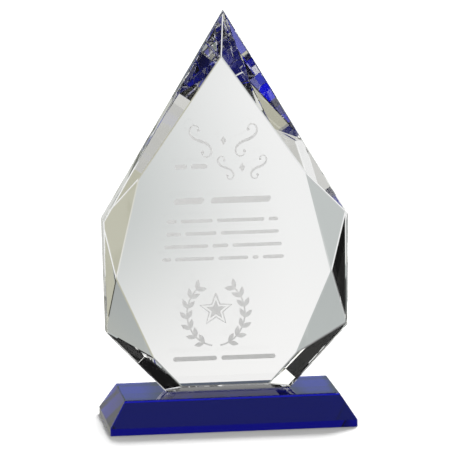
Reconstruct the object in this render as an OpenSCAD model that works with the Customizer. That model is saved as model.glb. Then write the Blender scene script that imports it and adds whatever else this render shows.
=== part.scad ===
// Diamond-shaped crystal award: a clear faceted plate bonded upright on a blue crystal base.
// The origin is at the middle of the base's underside, +Z is up and the plate's flat front faces -Y.

/* [Whole award] */
// Height from the table to the plate's tip
award_h = 235; // [200:1:300]
// Thickness of the bond film between plate and base
bond_t = 0.3; // [0.1:0.05:0.6]

/* [Base] */
// Width of the base at the table
base_w = 140; // [130:1:180]
// Depth of the base at the table
base_d = 64; // [50:1:90]
// Width of the base's top face
base_top_w = 121.5; // [100:0.5:128]
// Depth of the base's top face
base_top_d = 50; // [40:1:60]
// Height of the base
base_h = 18.5; // [14:0.5:30]
// Height of the upright lip around the foot of the base
base_lip_h = 4; // [2:0.5:8]
// Flat ground along each of the base's sloping and top edges
base_edge_flat = 0.7; // [0.3:0.1:1.5]

/* [Plate outline] */
// Thickness of the plate
plate_t = 20; // [18:0.5:24]
// Distance from the base's middle to the plate's front face, towards -Y
plate_front = 6.5; // [0:0.5:8]
// Width across the shoulders, the widest place
shoulder_w = 139; // [120:0.5:150]
// Height of the shoulders above the table
shoulder_z = 117.5; // [100:0.5:130]
// Width across the lower corners
corner_w = 137.5; // [120:0.5:145]
// Height of the lower corners above the table
corner_z = 54; // [48:0.5:62]
// Width of the plate's foot on the base
foot_w = 71; // [60:0.5:84]
// Flat ground along the edges of the front face
front_edge_flat = 0.5; // [0.2:0.1:1]

/* [Back face and facets] */
// Height of the back face's peak above the table
peak_z = 207.5; // [200:0.5:212]
// Width of the back face where its long upper edges end
waist_w = 95.5; // [90:0.5:100]
// Height of that place above the table
waist_z = 139.5; // [134:0.5:144]
// Width of the back face at its widest corners
side_w = 123; // [118:0.5:126]
// Height of the widest corners above the table
side_z = 82.5; // [76:0.5:88]
// Width of the back face at its lower corners
lower_w = 82; // [78:0.5:86]
// Height of the back face's lower corners above the table
lower_z = 36; // [33:0.5:40]
// Width of the back face along the plate's foot
back_foot_w = 50; // [44:0.5:56]
// Depth that the upper facets take off the plate's thickness at its tip
tip_cut = 16; // [10:0.5:17]
// Depth that the lower facets take off it at the lower corners
corner_cut = 11; // [7:0.5:13]

/* [Hidden] */

foot_z = base_h + bond_t;
front_y = -plate_front;
back_y = front_y + plate_t;
bond_inset = 0.6;
reach = 400;
lap = 1;

// Corners of the plate in plan view from the front, right-hand side, as [x, z].
tip = [0, award_h];
shoulder = [shoulder_w / 2, shoulder_z];
corner = [corner_w / 2, corner_z];
foot = [foot_w / 2, foot_z];

// Corners of the smaller back face, right-hand side, as [x, z].
peak = [0, peak_z];
waist = [waist_w / 2, waist_z];
side = [side_w / 2, side_z];
lower = [lower_w / 2, lower_z];
back_foot = [back_foot_w / 2, foot_z];

// How far point p lies outside the line from a to b, seen from the front.
function off_line(p, a, b) =
    ((p - a) * [a[1] - b[1], b[0] - a[0]]) / norm(b - a);

// Depth cut off at p by the facet that starts at the back edge a-b and takes off depth at point q.
function cut_at(p, a, b, q, depth) = depth * off_line(p, a, b) / off_line(q, a, b);

shoulder_cut = cut_at(shoulder, peak, waist, tip, tip_cut);
foot_cut = cut_at(foot, lower, back_foot, corner, corner_cut);

function unit(v) = v / norm(v);
function flip(p) = [-p[0], p[1]];

// Where the sides a-b and b-c of an outline meet after both move inwards by d.
function inset_corner(a, b, c, d) =
    let (
        m = unit([b[1] - a[1], a[0] - b[0]]),
        n = unit([c[1] - b[1], b[0] - c[0]])
    )
    b + (m + n) * d / (1 + m * n);

// Outline of the plate seen from the front, clockwise from the tip, and how deep each corner is cut
// from behind.
outline = [tip, shoulder, corner, foot, flip(foot), flip(corner), flip(shoulder)];
cuts = [tip_cut, shoulder_cut, corner_cut, foot_cut, foot_cut, corner_cut, shoulder_cut];
back_outline = [
    peak, waist, side, lower, back_foot,
    flip(back_foot), flip(lower), flip(side), flip(waist)
];

front_ring = [for (i = [0:6])
    let (p = inset_corner(outline[(i + 6) % 7], outline[i], outline[(i + 1) % 7], front_edge_flat))
    [p[0], front_y, p[1]]];
wall_ring = [for (p = outline) [p[0], front_y + front_edge_flat, p[1]]];
girdle_ring = [for (i = [0:6]) [outline[i][0], back_y - cuts[i], outline[i][1]]];
back_ring = [for (p = back_outline) [p[0], back_y, p[1]]];

// First point number of each ring, with the rings one after another.
wall_at = 7;
girdle_at = 14;
back_at = 21;

front_face = [[for (i = [0:6]) i]];
edge_flats = [for (i = [0:6]) [i, wall_at + i, wall_at + (i + 1) % 7, (i + 1) % 7]];
walls = [for (i = [0, 1, 2, 4, 5, 6])
    [wall_at + i, girdle_at + i, girdle_at + (i + 1) % 7, wall_at + (i + 1) % 7]];
foot_face = [[
    wall_at + 3, girdle_at + 3, back_at + 4, back_at + 5, girdle_at + 4, wall_at + 4
]];
// Facets between the wall and the back face: the long upper one, three triangles and the lower one.
right_facets = [
    [girdle_at, back_at, back_at + 1, girdle_at + 1],
    [girdle_at + 1, back_at + 1, back_at + 2],
    [girdle_at + 1, back_at + 2, girdle_at + 2],
    [girdle_at + 2, back_at + 2, back_at + 3],
    [girdle_at + 2, back_at + 3, back_at + 4, girdle_at + 3]
];
left_facets = [
    [girdle_at, girdle_at + 6, back_at + 8, back_at],
    [girdle_at + 6, back_at + 7, back_at + 8],
    [girdle_at + 6, girdle_at + 5, back_at + 7],
    [girdle_at + 5, back_at + 6, back_at + 7],
    [girdle_at + 5, girdle_at + 4, back_at + 5, back_at + 6]
];
back_face = [[for (i = [8:-1:0]) back_at + i]];

module crystal_plate() {
    color("aliceblue", 0.5)
        polyhedron(
            points = concat(front_ring, wall_ring, girdle_ring, back_ring),
            faces = concat(front_face, edge_flats, walls, foot_face, right_facets, left_facets, back_face)
        );
}

// The film of clear adhesive under the plate's foot, a little inside the foot's own outline.
module bond_film() {
    wide = foot[0] - bond_inset;
    narrow = back_foot[0] - bond_inset;
    near = front_y + front_edge_flat + bond_inset;
    far = back_y - bond_inset;
    step = back_y - foot_cut;
    color("white", 0.6)
        translate([0, 0, base_h])
            linear_extrude(height = bond_t)
                polygon([
                    [-wide, near], [wide, near], [wide, step],
                    [narrow, far], [-narrow, far], [-wide, step]
                ]);
}

// Half of a base section: an upright lip, then a slope up to the top face.
function base_profile(foot_width, top_width) = [
    [-foot_width / 2, 0], [foot_width / 2, 0], [foot_width / 2, base_lip_h],
    [top_width / 2, base_h], [-top_width / 2, base_h], [-foot_width / 2, base_lip_h]
];

module base_blank() {
    intersection() {
        translate([0, base_d / 2 + lap, 0])
            rotate([90, 0, 0])
                linear_extrude(height = base_d + 2 * lap)
                    polygon(base_profile(base_w, base_top_w));
        translate([-base_w / 2 - lap, 0, 0])
            rotate([90, 0, 90])
                linear_extrude(height = base_w + 2 * lap)
                    polygon(base_profile(base_d, base_top_d));
    }
}

// Everything on the outer side of the plane through p with outward normal n.
module beyond(p, n) {
    w = unit(n);
    u = unit(cross(abs(w[2]) < 0.9 ? [0, 0, 1] : [1, 0, 0], w));
    v = cross(w, u);
    multmatrix([
        [u[0], v[0], w[0], p[0]],
        [u[1], v[1], w[1], p[1]],
        [u[2], v[2], w[2], p[2]],
        [0, 0, 0, 1]
    ])
        translate([-reach / 2, -reach / 2, 0])
            cube([reach, reach, reach / 2]);
}

// Takes a narrow flat of the given width off the edge at point p between two faces with normals m and n.
module beyond_edge(p, m, n, width) {
    w = unit(unit(m) + unit(n));
    half_angle = acos(unit(m) * unit(n)) / 2;
    beyond(p - w * (width / 2) * tan(half_angle), w);
}

module blue_base() {
    slope_h = base_h - base_lip_h;
    end_normal = [slope_h, 0, (base_w - base_top_w) / 2];
    long_normal = [0, slope_h, (base_d - base_top_d) / 2];
    top_corner = [base_top_w / 2, base_top_d / 2, base_h];
    lip_corner = [base_w / 2, base_d / 2, base_lip_h];
    color("midnightblue")
        difference() {
            base_blank();
            for (sx = [0, 1], sy = [0, 1])
                mirror([sx, 0, 0]) mirror([0, sy, 0]) {
                    beyond_edge(top_corner, end_normal, [0, 0, 1], base_edge_flat);
                    beyond_edge(top_corner, long_normal, [0, 0, 1], base_edge_flat);
                    beyond_edge(top_corner, end_normal, long_normal, base_edge_flat);
                    beyond_edge(lip_corner, [1, 0, 0], [0, 1, 0], base_edge_flat);
                }
        }
}

blue_base();
bond_film();
crystal_plate();
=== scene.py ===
"""The looks of a crystal award: a faceted clear plate, cemented to a blue crystal base.

Lengths are in metres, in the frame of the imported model: +X to the right, +Y to the back,
+Z up, with the origin under the middle of the base.
"""

import math

import bmesh
import bpy
from mathutils import Matrix, Vector


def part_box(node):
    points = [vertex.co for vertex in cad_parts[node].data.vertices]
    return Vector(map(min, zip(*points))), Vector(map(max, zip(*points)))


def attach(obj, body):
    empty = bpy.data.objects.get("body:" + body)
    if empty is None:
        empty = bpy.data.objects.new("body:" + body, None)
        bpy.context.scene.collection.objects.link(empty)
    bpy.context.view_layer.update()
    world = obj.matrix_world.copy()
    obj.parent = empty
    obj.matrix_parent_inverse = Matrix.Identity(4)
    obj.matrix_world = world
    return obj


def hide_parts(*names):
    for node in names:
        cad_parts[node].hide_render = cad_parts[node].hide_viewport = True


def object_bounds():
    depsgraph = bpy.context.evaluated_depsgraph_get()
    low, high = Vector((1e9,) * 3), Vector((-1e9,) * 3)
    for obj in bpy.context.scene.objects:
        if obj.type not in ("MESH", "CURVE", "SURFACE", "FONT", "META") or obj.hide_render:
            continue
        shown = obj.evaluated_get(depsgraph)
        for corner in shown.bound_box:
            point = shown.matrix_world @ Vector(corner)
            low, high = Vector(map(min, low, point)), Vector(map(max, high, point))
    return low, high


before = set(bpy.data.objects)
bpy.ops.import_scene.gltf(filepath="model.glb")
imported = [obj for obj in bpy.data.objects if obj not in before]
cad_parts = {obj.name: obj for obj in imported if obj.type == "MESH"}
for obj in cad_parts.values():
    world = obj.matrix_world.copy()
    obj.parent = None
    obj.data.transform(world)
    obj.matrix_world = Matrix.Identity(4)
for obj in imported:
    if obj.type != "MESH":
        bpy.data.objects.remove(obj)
cad_low, cad_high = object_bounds()

MM = 0.001

# Polish of the cut edges
PLATE_EDGE = 0.42 * MM
BASE_EDGE = 0.15 * MM
DISSOLVE_ANGLE = math.radians(0.5)
FRONT_ZONE = 0.6 * MM
FRONT_WEIGHT = 0.3

# Optics
CRYSTAL_IOR = 1.52
CEMENT_IOR = 1.49
WETTING = 0.05 * MM
BOND_SKIN = 0.01 * MM
BLUE_ABSORPTION = (0.0, 0.07, 0.91, 1)
BLUE_DENSITY = 150

# Etching on the front face
ETCH_GAP = 0.02 * MM
ETCH_DEPTH = 0.05 * MM
ETCH_CENTRE_X = -2 * MM

# The camera looks at the award from the left, slightly above it
CAMERA_TARGET = Vector((2.92, 0, 109.39)) * MM
CAMERA_DISTANCE = 2489 * MM
CAMERA_YAW = math.radians(-7.2)
CAMERA_PITCH = math.radians(9.58)
CAMERA_ROLL = math.radians(-0.745)
SENSOR_WIDTH = 36
LENS = 344.8

# Studio
WHITE = (0.90, 0.905, 0.90)
STONE = (0.62, 0.62, 0.59)
PEARL = (0.52, 0.55, 0.54)
DUSK = (0.25, 0.25, 0.25)
BRIGHT = (0.96, 0.955, 0.945)
GLINT = (1.3, 1.3, 1.25)
COOL_GREY = (0.49, 0.52, 0.51)
CREAM = (0.52, 0.515, 0.415)
STONE_SHADE = (0.42, 0.42, 0.38)
DARK_CARD = (0.16, 0.16, 0.16)
LAMP = (3, 3, 3)
REFLECTED_ROOM = (0.3, 0.355, 0.27)
BACKDROP_STRENGTH = 1.1
AMBIENT_STRENGTH = 0.52
FLOOR_SIZE = 12
FLOOR_DROP = 0.05 * MM
SHADED_FLOOR_DROP = 0.02 * MM
# Painted light and shade of the floor under the base, as glow colours from its middle to its ends
FLOOR_SHADES = [(0.54, (0.16,) * 3), (0.68, (0.6,) * 3), (0.84, (0.6,) * 3), (0.9, (0.1,) * 3)]
# Painted shade: the floor glow dims to this share towards the front of the base
FRONT_SHADE = 0.25
FRONT_SHADE_FROM = -12 * MM
NIGHT = (0.002, 0.002, 0.002)


# ---------------------------------------------------------------- shader helpers

def new_material(name):
    """An empty material: its node tree, its Principled shader and its output."""
    material = bpy.data.materials.new(name)
    material.use_nodes = True
    nodes = material.node_tree.nodes
    return material, material.node_tree, nodes["Principled BSDF"], nodes["Material Output"]


def noise(tree, scale, detail=3, roughness=0.5, distortion=0.0):
    """A noise texture in metres of the object's own frame: its value output."""
    place = tree.nodes.new("ShaderNodeTexCoord")
    texture = tree.nodes.new("ShaderNodeTexNoise")
    texture.inputs["Scale"].default_value = scale
    texture.inputs["Detail"].default_value = detail
    texture.inputs["Roughness"].default_value = roughness
    texture.inputs["Distortion"].default_value = distortion
    tree.links.new(place.outputs["Object"], texture.inputs["Vector"])
    return texture.outputs["Fac"]


def remap(tree, value, low, high, new_low, new_high):
    """value, from low..high to new_low..new_high, clamped."""
    node = tree.nodes.new("ShaderNodeMapRange")
    node.inputs["From Min"].default_value = low
    node.inputs["From Max"].default_value = high
    node.inputs["To Min"].default_value = new_low
    node.inputs["To Max"].default_value = new_high
    tree.links.new(value, node.inputs["Value"])
    return node.outputs["Result"]


def ramp(tree, value, stops):
    """A colour ramp over value; stops are (place, colour)."""
    node = tree.nodes.new("ShaderNodeValToRGB")
    elements = node.color_ramp.elements
    while len(elements) < len(stops):
        elements.new(0.5)
    for element, (place, colour) in zip(elements, stops):
        element.position = place
        element.color = (*colour, 1)
    tree.links.new(value, node.inputs["Fac"])
    return node.outputs["Color"]


def bump(tree, shader, height, distance, strength=1.0):
    """Drives the shader's normal with a height."""
    node = tree.nodes.new("ShaderNodeBump")
    node.inputs["Distance"].default_value = distance
    node.inputs["Strength"].default_value = strength
    tree.links.new(height, node.inputs["Height"])
    tree.links.new(node.outputs["Normal"], shader.inputs["Normal"])


def wetted(tree):
    """The index of refraction that light meets: that of crystal against air, but against
    cement where the crystal touches the bond film."""
    low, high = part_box("bond_film")
    middle = (low + high) / 2
    reach = (high - low) / 2 + Vector((WETTING, WETTING, WETTING))
    place = tree.nodes.new("ShaderNodeTexCoord")
    offset = tree.nodes.new("ShaderNodeVectorMath")
    offset.operation = "SUBTRACT"
    offset.inputs[1].default_value = middle
    tree.links.new(place.outputs["Object"], offset.inputs[0])
    away = tree.nodes.new("ShaderNodeVectorMath")
    away.operation = "ABSOLUTE"
    tree.links.new(offset.outputs["Vector"], away.inputs[0])
    share = tree.nodes.new("ShaderNodeVectorMath")
    share.operation = "DIVIDE"
    share.inputs[1].default_value = reach
    tree.links.new(away.outputs["Vector"], share.inputs[0])
    parts = tree.nodes.new("ShaderNodeSeparateXYZ")
    tree.links.new(share.outputs["Vector"], parts.inputs["Vector"])
    furthest = parts.outputs["X"]
    for side in ("Y", "Z"):
        larger = tree.nodes.new("ShaderNodeMath")
        larger.operation = "MAXIMUM"
        tree.links.new(furthest, larger.inputs[0])
        tree.links.new(parts.outputs[side], larger.inputs[1])
        furthest = larger.outputs[0]
    return remap(tree, furthest, 0.9999, 1.0, CRYSTAL_IOR / CEMENT_IOR, CRYSTAL_IOR)


# ---------------------------------------------------------------- materials

def polished_crystal(name, waviness):
    """Optical crystal with a hand polish: faint waviness, and a haze of fingerprints."""
    material, tree, shader, output = new_material(name)
    shader.inputs["Base Color"].default_value = (1, 1, 1, 1)
    shader.inputs["Transmission Weight"].default_value = 1.0
    shader.inputs["IOR"].default_value = CRYSTAL_IOR
    tree.links.new(wetted(tree), shader.inputs["IOR"])
    haze = noise(tree, 45, detail=4, roughness=0.6)
    tree.links.new(remap(tree, haze, 0.5, 0.8, 0.0, 0.006), shader.inputs["Roughness"])
    bump(tree, shader, noise(tree, 60, detail=1), waviness)
    return material, tree, output


def clear_crystal():
    material, tree, output = polished_crystal("clear_crystal", 0.0025 * MM)
    return material


def blue_crystal():
    """Crystal coloured through its mass with cobalt."""
    material, tree, output = polished_crystal("blue_crystal", 0.006 * MM)
    colour = tree.nodes.new("ShaderNodeVolumeAbsorption")
    colour.inputs["Color"].default_value = BLUE_ABSORPTION
    colour.inputs["Density"].default_value = BLUE_DENSITY
    tree.links.new(colour.outputs["Volume"], output.inputs["Volume"])
    return material


def adhesive(name, index):
    """Clear cement, cured between the plate and the base, with a fine cloud of bubbles."""
    material, tree, shader, output = new_material(name)
    shader.inputs["Base Color"].default_value = (1, 1, 1, 1)
    shader.inputs["Transmission Weight"].default_value = 1.0
    shader.inputs["IOR"].default_value = index
    bubbles = noise(tree, 900, detail=2)
    tree.links.new(remap(tree, bubbles, 0.66, 0.72, 0.0, 0.2), shader.inputs["Roughness"])
    return material


def frost():
    """Sandblasted crystal: matt pale grey, with a fine grain."""
    material, tree, shader, output = new_material("etched_frost")
    grain = noise(tree, 2500, detail=2)
    shades = [(0.3, (0.68, 0.68, 0.67)), (0.7, (0.78, 0.78, 0.77))]
    tree.links.new(ramp(tree, grain, shades), shader.inputs["Base Color"])
    shader.inputs["Specular IOR Level"].default_value = 0.3
    tree.links.new(remap(tree, grain, 0.3, 0.7, 0.7, 0.9), shader.inputs["Roughness"])
    bump(tree, shader, grain, 0.01 * MM, 0.6)
    return material


def studio_floor():
    """Matt pale board with a faint mottle."""
    material, tree, shader, output = new_material("studio_floor")
    mottle = noise(tree, 14, detail=5)
    shades = [(0.35, (0.90, 0.90, 0.90)), (0.65, (0.93, 0.93, 0.93))]
    tree.links.new(ramp(tree, mottle, shades), shader.inputs["Base Color"])
    tree.links.new(remap(tree, mottle, 0.3, 0.7, 0.9, 1.0), shader.inputs["Roughness"])
    shader.inputs["Specular IOR Level"].default_value = 0.1
    return material


# ---------------------------------------------------------------- crystal pieces

def new_object(name, mesh, material):
    item = bpy.data.objects.new(name, mesh)
    bpy.context.scene.collection.objects.link(item)
    mesh.materials.clear()
    mesh.materials.append(material)
    return item


def polished(node, name, edge, material):
    """A copy of a CAD node with whole facets and a narrow polished flat on each edge."""
    work = bmesh.new()
    work.from_mesh(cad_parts[node].data)
    bmesh.ops.remove_doubles(work, verts=work.verts, dist=0.001 * MM)
    bmesh.ops.dissolve_limit(
        work,
        angle_limit=DISSOLVE_ANGLE,
        verts=work.verts,
        edges=work.edges,
    )
    front = min(vert.co.y for vert in work.verts)
    weights = work.edges.layers.float.new("bevel_weight_edge")
    for edge_line in work.edges:
        near_front = min(vert.co.y for vert in edge_line.verts) < front + FRONT_ZONE
        edge_line[weights] = FRONT_WEIGHT if near_front else 1.0
    mesh = bpy.data.meshes.new(name)
    work.to_mesh(mesh)
    work.free()
    for face in mesh.polygons:
        face.use_smooth = False
    item = new_object(name, mesh, material)
    flats = item.modifiers.new("edge_flats", "BEVEL")
    flats.width = edge
    flats.segments = 1
    flats.limit_method = "WEIGHT"
    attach(item, "root")
    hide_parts(node)
    return item


def bond_outline(low, high, steps):
    """The rim of the cement: the foot of the plate drawn in, with a slow wander."""
    middle = (low + high) / 2
    half = (high - low) / 2
    points = []
    for step in range(steps):
        turn = 2 * math.pi * step / steps
        reach = 1 / max(abs(math.cos(turn)), abs(math.sin(turn)))
        wander = 0.985 + 0.008 * math.sin(9 * turn) + 0.006 * math.sin(23 * turn + 1)
        x = middle.x + half.x * math.cos(turn) * reach * wander
        y = middle.y + half.y * math.sin(turn) * reach * wander
        points.append((x, y))
    return points


def bond_layer(rim, joint):
    """The cement between the plate and the base: its rim, and its joints with the crystal."""
    low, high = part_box("bond_film")
    outline = bond_outline(low, high, 160)
    work = bmesh.new()
    rings = []
    for z in (low.z + BOND_SKIN, high.z - BOND_SKIN):
        rings.append([work.verts.new((x, y, z)) for x, y in outline])
    for cap in (rings[0][::-1], rings[1]):
        work.faces.new(cap).material_index = 1
    for a in range(len(outline)):
        b = (a + 1) % len(outline)
        work.faces.new([rings[0][a], rings[0][b], rings[1][b], rings[1][a]])
    mesh = bpy.data.meshes.new("bond_layer")
    work.to_mesh(mesh)
    work.free()
    item = new_object("bond_layer", mesh, rim)
    mesh.materials.append(joint)
    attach(item, "root")
    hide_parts("bond_film")
    return item


# ---------------------------------------------------------------- etching

class Etching:
    """Flat frosted shapes on the front face, as thin closed solids. Shapes are in mm."""

    def __init__(self, face_y):
        self.work = bmesh.new()
        self.back = face_y - ETCH_GAP
        self.front = self.back - ETCH_DEPTH

    def place(self, point, y):
        x, z = point
        return self.work.verts.new((ETCH_CENTRE_X + x * MM, y, z * MM))

    def outline(self, points):
        """A closed shape, filled."""
        front = [self.place(p, self.front) for p in points]
        back = [self.place(p, self.back) for p in points]
        self.work.faces.new(front)
        self.work.faces.new(back[::-1])
        for a in range(len(points)):
            b = (a + 1) % len(points)
            self.work.faces.new([front[b], front[a], back[a], back[b]])

    def stroke(self, line):
        """A pen stroke; line is (x, z, width) along its middle."""
        left, right = [], []
        for i, (x, z, width) in enumerate(line):
            x0, z0, _ = line[max(i - 1, 0)]
            x1, z1, _ = line[min(i + 1, len(line) - 1)]
            along = Vector((x1 - x0, z1 - z0)).normalized() * width / 2
            left.append((x - along.y, z + along.x))
            right.append((x + along.y, z - along.x))
        rows = []
        for y in (self.front, self.back):
            rows.append([self.place(p, y) for p in left])
            rows.append([self.place(p, y) for p in right])
        front_left, front_right, back_left, back_right = rows
        for a in range(len(line) - 1):
            b = a + 1
            self.work.faces.new([front_left[a], front_right[a], front_right[b], front_left[b]])
            self.work.faces.new([back_right[a], back_left[a], back_left[b], back_right[b]])
            self.work.faces.new([front_left[b], back_left[b], back_left[a], front_left[a]])
            self.work.faces.new([front_right[a], back_right[a], back_right[b], front_right[b]])
        for a in (0, len(line) - 1):
            self.work.faces.new([front_left[a], back_left[a], back_right[a], front_right[a]])

    def finish(self, name, material):
        bmesh.ops.recalc_face_normals(self.work, faces=self.work.faces)
        mesh = bpy.data.meshes.new(name)
        self.work.to_mesh(mesh)
        self.work.free()
        item = new_object(name, mesh, material)
        item.visible_shadow = False
        item.visible_diffuse = False
        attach(item, "root")
        return item


def scroll(middle, reach, tilt, curl, pen, side):
    """A slender S whose ends curl into spirals, thick in the middle; side -1 mirrors it."""
    steps = 40
    arms = []
    for way in (-1, 1):
        x, z = 0.0, 0.0
        arm = []
        for i in range(1, steps + 1):
            share = i / steps
            heading = tilt + curl * share ** 2
            x += way * reach / steps * math.cos(heading)
            z += way * reach / steps * math.sin(heading)
            arm.append((middle[0] + side * x, middle[1] + z, pen * (1 - 0.72 * share)))
        arms.append(arm)
    return arms[0][::-1] + [(*middle, pen)] + arms[1]


def dot(middle, radius):
    steps = 16
    turns = [2 * math.pi * i / steps for i in range(steps)]
    return [(middle[0] + radius * math.cos(t), middle[1] + radius * math.sin(t)) for t in turns]


def bar(left, right, middle, height, slant):
    """A word-long bar with round ends."""
    steps = 8
    radius = height / 2
    points = []
    for centre, start in ((right - radius, -math.pi / 2), (left + radius, math.pi / 2)):
        for i in range(steps + 1):
            turn = start + math.pi * i / steps
            z = radius * math.sin(turn)
            points.append((centre + radius * math.cos(turn) + slant * z, middle + z))
    return points


def bar_row(etching, middle, words, gap, height, slant=0.0, centre=0.0):
    """A centred row of bars with the given lengths."""
    x = centre - (sum(words) + gap * (len(words) - 1)) / 2
    for length in words:
        etching.outline(bar(x, x + length, middle, height, slant))
        x += length + gap


def divider(etching, centre, reach, pen):
    """A pair of mirrored scrolls round a lozenge."""
    x, z = centre
    lozenge = [(x, z + 2.6), (x + 1.7, z), (x, z - 2.6), (x - 1.7, z)]
    etching.outline(lozenge)
    for side in (-1, 1):
        middle = (x + side * reach * 0.72, z)
        line = scroll(middle, reach, 0.35, 4.6, pen, side)
        etching.stroke(line)
        for end in (line[0], line[-1]):
            etching.outline(dot(end[:2], pen * 0.55))


def leaf(root, angle, length, width):
    """A pointed leaf: two arcs that meet at its ends."""
    steps = 8
    edge = []
    for i in range(steps + 1):
        share = i / steps
        edge.append((share * length, width / 2 * math.sin(math.pi * share)))
    shape = edge + [(x, -z) for x, z in edge[-2:0:-1]]
    cos, sin = math.cos(angle), math.sin(angle)
    return [(root[0] + x * cos - z * sin, root[1] + x * sin + z * cos) for x, z in shape]


def wreath(etching, centre, radius):
    """Two laurel branches, open at the top."""
    for side in (-1, 1):
        stem = []
        for i in range(31):
            turn = math.radians(8 + 140 * i / 30)
            x = centre[0] + side * radius * math.sin(turn)
            z = centre[1] - radius * 1.12 * math.cos(turn)
            stem.append((x, z, 0.9))
        etching.stroke(stem)
        for i in range(7):
            turn = math.radians(24 + 19 * i)
            root = (
                centre[0] + side * radius * math.sin(turn),
                centre[1] - radius * 1.12 * math.cos(turn),
            )
            along = turn if side > 0 else math.pi - turn
            for spread in (-0.62, 0.62):
                etching.outline(leaf(root, along + side * spread, 6.2, 2.6))


def star(etching, centre, radius):
    """A five-pointed star, cut as a frame round a small solid star."""
    def ring(size):
        points = []
        for i in range(10):
            reach = size if i % 2 == 0 else size * 0.42
            turn = math.pi / 2 + math.pi * i / 5
            points.append((centre[0] + reach * math.cos(turn), centre[1] + reach * math.sin(turn)))
        return points
    rim = ring(radius)
    etching.stroke([(x, z, 0.9) for x, z in rim + rim[:1]])
    etching.outline(ring(radius * 0.62))


def etch_front(material):
    face_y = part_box("crystal_plate")[0].y
    heading = Etching(face_y)
    divider(heading, (1, 161.5), 18, 1.7)
    divider(heading, (11.5, 146), 13, 1.4)
    bar_row(heading, 147.3, [7, 9.5], 2, 2.6, centre=-17.5)
    heading.finish("etched_heading", material)

    lines = Etching(face_y)
    bar_row(lines, 127.7, [17, 34], 4, 3.6, slant=0.3)
    rows = [
        (116.2, [5.5, 18, 27, 5.5]),
        (109.0, [8, 18, 33]),
        (101.8, [25, 9, 28]),
        (94.6, [5, 22, 17, 3.5, 12]),
    ]
    for middle, words in rows:
        bar_row(lines, middle, words, 2.4, 2.0)
    bar_row(lines, 37.4, [25, 31], 2.4, 2.6)
    lines.finish("etched_lines", material)

    emblem = Etching(face_y)
    wreath(emblem, (-4.5, 63), 16.5)
    star(emblem, (-4.5, 65), 9.5)
    emblem.finish("etched_emblem", material)


# ---------------------------------------------------------------- studio

def direction(azimuth, elevation):
    """A unit vector; azimuth turns from +Y towards +X, in degrees."""
    a = math.radians(azimuth)
    e = math.radians(elevation)
    return Vector((math.sin(a) * math.cos(e), math.cos(a) * math.cos(e), math.sin(e)))


def add_lobe(tree, ray, under, lobe):
    """Paints a soft round patch of the studio over what is already there."""
    azimuth, elevation, inner, outer, colour = lobe
    dot = tree.nodes.new("ShaderNodeVectorMath")
    dot.operation = "DOT_PRODUCT"
    dot.inputs[1].default_value = direction(azimuth, elevation)
    tree.links.new(ray, dot.inputs[0])
    soft = tree.nodes.new("ShaderNodeMapRange")
    soft.interpolation_type = "SMOOTHSTEP"
    soft.inputs["From Min"].default_value = math.cos(math.radians(outer))
    soft.inputs["From Max"].default_value = math.cos(math.radians(inner))
    tree.links.new(dot.outputs["Value"], soft.inputs["Value"])
    mix = tree.nodes.new("ShaderNodeMix")
    mix.data_type = "RGBA"
    mix.inputs[7].default_value = (*colour, 1)
    tree.links.new(soft.outputs["Result"], mix.inputs["Factor"])
    tree.links.new(under, mix.inputs[6])
    return mix.outputs[2]


def background(tree, strength, colour=None):
    node = tree.nodes.new("ShaderNodeBackground")
    node.inputs["Color"].default_value = (1, 1, 1, 1)
    node.inputs["Strength"].default_value = strength
    if colour is not None:
        tree.links.new(colour, node.inputs["Color"])
    return node.outputs["Background"]


def painted(tree, ray, ground, lobes):
    """The colour of the studio in the direction of a ray: lobes painted over a ground."""
    start = tree.nodes.new("ShaderNodeRGB")
    start.outputs[0].default_value = (*ground, 1)
    colour = start.outputs[0]
    for lobe in lobes:
        colour = add_lobe(tree, ray, colour, lobe)
    return colour


def studio(through, mirrored, seen, ambient):
    """A white room for the camera. The crystal sees cards and soft boxes instead: through and
    mirrored are (ground, lobes), for rays that leave the crystal and for rays that its surface
    reflects."""
    world = bpy.data.worlds.new("studio")
    world.use_nodes = True
    bpy.context.scene.world = world
    tree = world.node_tree
    tree.nodes.clear()
    place = tree.nodes.new("ShaderNodeTexCoord")
    unit = tree.nodes.new("ShaderNodeVectorMath")
    unit.operation = "NORMALIZE"
    tree.links.new(place.outputs["Generated"], unit.inputs[0])
    ray = unit.outputs["Vector"]
    path = tree.nodes.new("ShaderNodeLightPath")
    shaders = background(tree, ambient)
    for flag, layer in (
        ("Is Glossy Ray", background(tree, 1.0, painted(tree, ray, *mirrored))),
        ("Is Transmission Ray", background(tree, 1.0, painted(tree, ray, *through))),
        ("Is Camera Ray", background(tree, seen)),
    ):
        mix = tree.nodes.new("ShaderNodeMixShader")
        tree.links.new(path.outputs[flag], mix.inputs["Fac"])
        tree.links.new(shaders, mix.inputs[1])
        tree.links.new(layer, mix.inputs[2])
        shaders = mix.outputs["Shader"]
    output = tree.nodes.new("ShaderNodeOutputWorld")
    tree.links.new(shaders, output.inputs["Surface"])


def floor_board(size):
    """A thin board with its top just under the base."""
    top = cad_low.z - FLOOR_DROP
    work = bmesh.new()
    bmesh.ops.create_grid(work, x_segments=8, y_segments=8, size=size / 2)
    mesh = bpy.data.meshes.new("studio_floor")
    work.to_mesh(mesh)
    work.free()
    item = new_object("studio_floor", mesh, studio_floor())
    item.location.z = top
    item.visible_transmission = False
    item.visible_glossy = False
    return item


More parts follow.
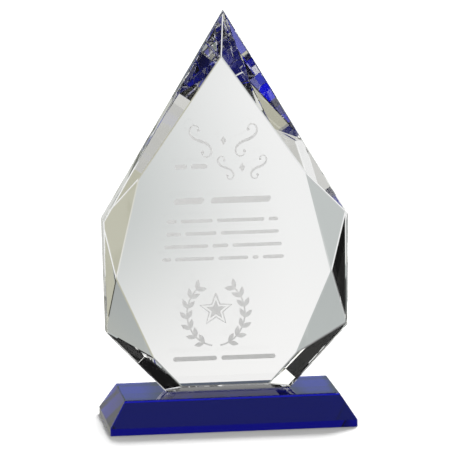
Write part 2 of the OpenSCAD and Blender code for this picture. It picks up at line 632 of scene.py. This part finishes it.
def shaded_floor():
    """The strip of floor under the base, as a glow that only rays inside the crystal see: painted
    light and shade, which changes from its middle to its ends and dims towards the front.
    """
    low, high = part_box("blue_base")
    work = bmesh.new()
    bmesh.ops.create_grid(work, x_segments=2, y_segments=2, size=1)
    bmesh.ops.scale(work, vec=(high.x, high.y, 1), verts=work.verts)
    mesh = bpy.data.meshes.new("shaded_floor")
    work.to_mesh(mesh)
    work.free()
    material = bpy.data.materials.new("shaded_floor")
    material.use_nodes = True
    tree = material.node_tree
    tree.nodes.clear()
    glow = tree.nodes.new("ShaderNodeEmission")
    output = tree.nodes.new("ShaderNodeOutputMaterial")
    tree.links.new(glow.outputs["Emission"], output.inputs["Surface"])
    place = tree.nodes.new("ShaderNodeNewGeometry")
    parts = tree.nodes.new("ShaderNodeSeparateXYZ")
    tree.links.new(place.outputs["Position"], parts.inputs["Vector"])
    reach = tree.nodes.new("ShaderNodeMath")
    reach.operation = "ABSOLUTE"
    tree.links.new(parts.outputs["X"], reach.inputs[0])
    across = remap(tree, reach.outputs[0], 0, high.x, 0, 1)
    # Painted light and shade: the glow's colour follows the distance from the middle, and its strength
    # dims towards the front
    tree.links.new(ramp(tree, across, FLOOR_SHADES), glow.inputs["Color"])
    front_shade = remap(tree, parts.outputs["Y"], FRONT_SHADE_FROM, 0, FRONT_SHADE, 1)
    tree.links.new(front_shade, glow.inputs["Strength"])
    item = new_object("shaded_floor", mesh, material)
    item.location.z = low.z - SHADED_FLOOR_DROP
    item.visible_camera = False
    item.visible_diffuse = False
    item.visible_glossy = False
    item.visible_shadow = False


def sun(azimuth, elevation, spread, strength, lit):
    """A soft key light; lit is the only object that it falls on."""
    light = bpy.data.lights.new("key_light", "SUN")
    light.angle = math.radians(spread)
    light.energy = strength
    item = bpy.data.objects.new("key_light", light)
    bpy.context.scene.collection.objects.link(item)
    way = direction(azimuth, elevation)
    item.rotation_euler = way.to_track_quat("Z", "Y").to_euler()
    receivers = bpy.data.collections.new("key_light_falls_on")
    receivers.objects.link(lit)
    item.light_linking.receiver_collection = receivers


def add_camera():
    yaw, pitch, roll = CAMERA_YAW, CAMERA_PITCH, CAMERA_ROLL
    back = Vector((math.sin(yaw) * math.cos(pitch), -math.cos(yaw) * math.cos(pitch), math.sin(pitch)))
    level = (-back).cross(Vector((0, 0, 1))).normalized()
    rise = level.cross(-back)
    right = math.cos(roll) * level + math.sin(roll) * rise
    up = -math.sin(roll) * level + math.cos(roll) * rise
    data = bpy.data.cameras.new("camera")
    data.sensor_width = SENSOR_WIDTH
    data.lens = LENS
    data.clip_start = 0.05
    data.clip_end = 50
    camera = bpy.data.objects.new("camera", data)
    bpy.context.scene.collection.objects.link(camera)
    turn = Matrix((right, up, back)).transposed().to_4x4()
    camera.matrix_world = Matrix.Translation(CAMERA_TARGET + back * CAMERA_DISTANCE) @ turn
    bpy.context.scene.camera = camera


def render_choices():
    scene = bpy.context.scene
    scene.view_settings.view_transform = "Standard"
    scene.view_settings.look = "None"
    scene.cycles.max_bounces = 32
    scene.cycles.transmission_bounces = 32
    scene.cycles.glossy_bounces = 32
    scene.cycles.diffuse_bounces = 4
    scene.cycles.caustics_refractive = False
    scene.cycles.caustics_reflective = False


# ---------------------------------------------------------------- the award

add_camera()
render_choices()

plate = polished("crystal_plate", "polished_plate", PLATE_EDGE, clear_crystal())
plate.visible_shadow = False
plate.visible_diffuse = False
base = polished("blue_base", "polished_base", BASE_EDGE, blue_crystal())
bond_layer(adhesive("clear_adhesive", CEMENT_IOR), adhesive("clear_adhesive_joint", 1.0))
etch_front(frost())

# What the crystal looks out on, in the order it is painted:
# azimuth, elevation, inner and outer radius in degrees, colour
CARDS = [
    (0, -90, 120, 122, DUSK),
    (0, -90, 102, 104, NIGHT),
    (0, -90, 86, 94, COOL_GREY),
    (100, -10, 25, 32, CREAM),
    (0, -90, 82, 86, WHITE),
    (0, -90, 50, 60, STONE),
    (5, 65, 12, 16, STONE),
    (120, 25, 12, 16, WHITE),
    (90, 75, 10, 15, WHITE),
    (85, 20, 8, 12, COOL_GREY),
    (5, 20, 12, 16, DUSK),
    (-25, -15, 10, 12, DUSK),
    (-20, 5, 5, 8, DUSK),
    (105, -35, 5, 10, CREAM),
    (150, -65, 5, 10, CREAM),
    (0, -10, 5, 8, PEARL),
    (20, -10, 8, 10, CREAM),
    (105, 0, 5, 8, CREAM),
    (7, -15, 2, 6, BRIGHT),
]
# Two rings of small soft boxes give the polished edges their glints
SOFT_BOXES = [
    (azimuth, elevation, 3, 5, GLINT)
    for elevation in (17, 45)
    for azimuth in range(0, 360, 30)
]
MIRRORED = [
    (0, -90, 88, 96, STONE_SHADE),
    (175, -10, 20, 30, DARK_CARD),
    (15, 75, 8, 12, LAMP),
    (-140, 45, 12, 15, LAMP),
    (120, 25, 12, 16, GLINT),
]
studio((NIGHT, CARDS + SOFT_BOXES), (REFLECTED_ROOM, MIRRORED), BACKDROP_STRENGTH, AMBIENT_STRENGTH)
sun(azimuth=20, elevation=28, spread=26, strength=5.8, lit=floor_board(FLOOR_SIZE))
shaded_floor()
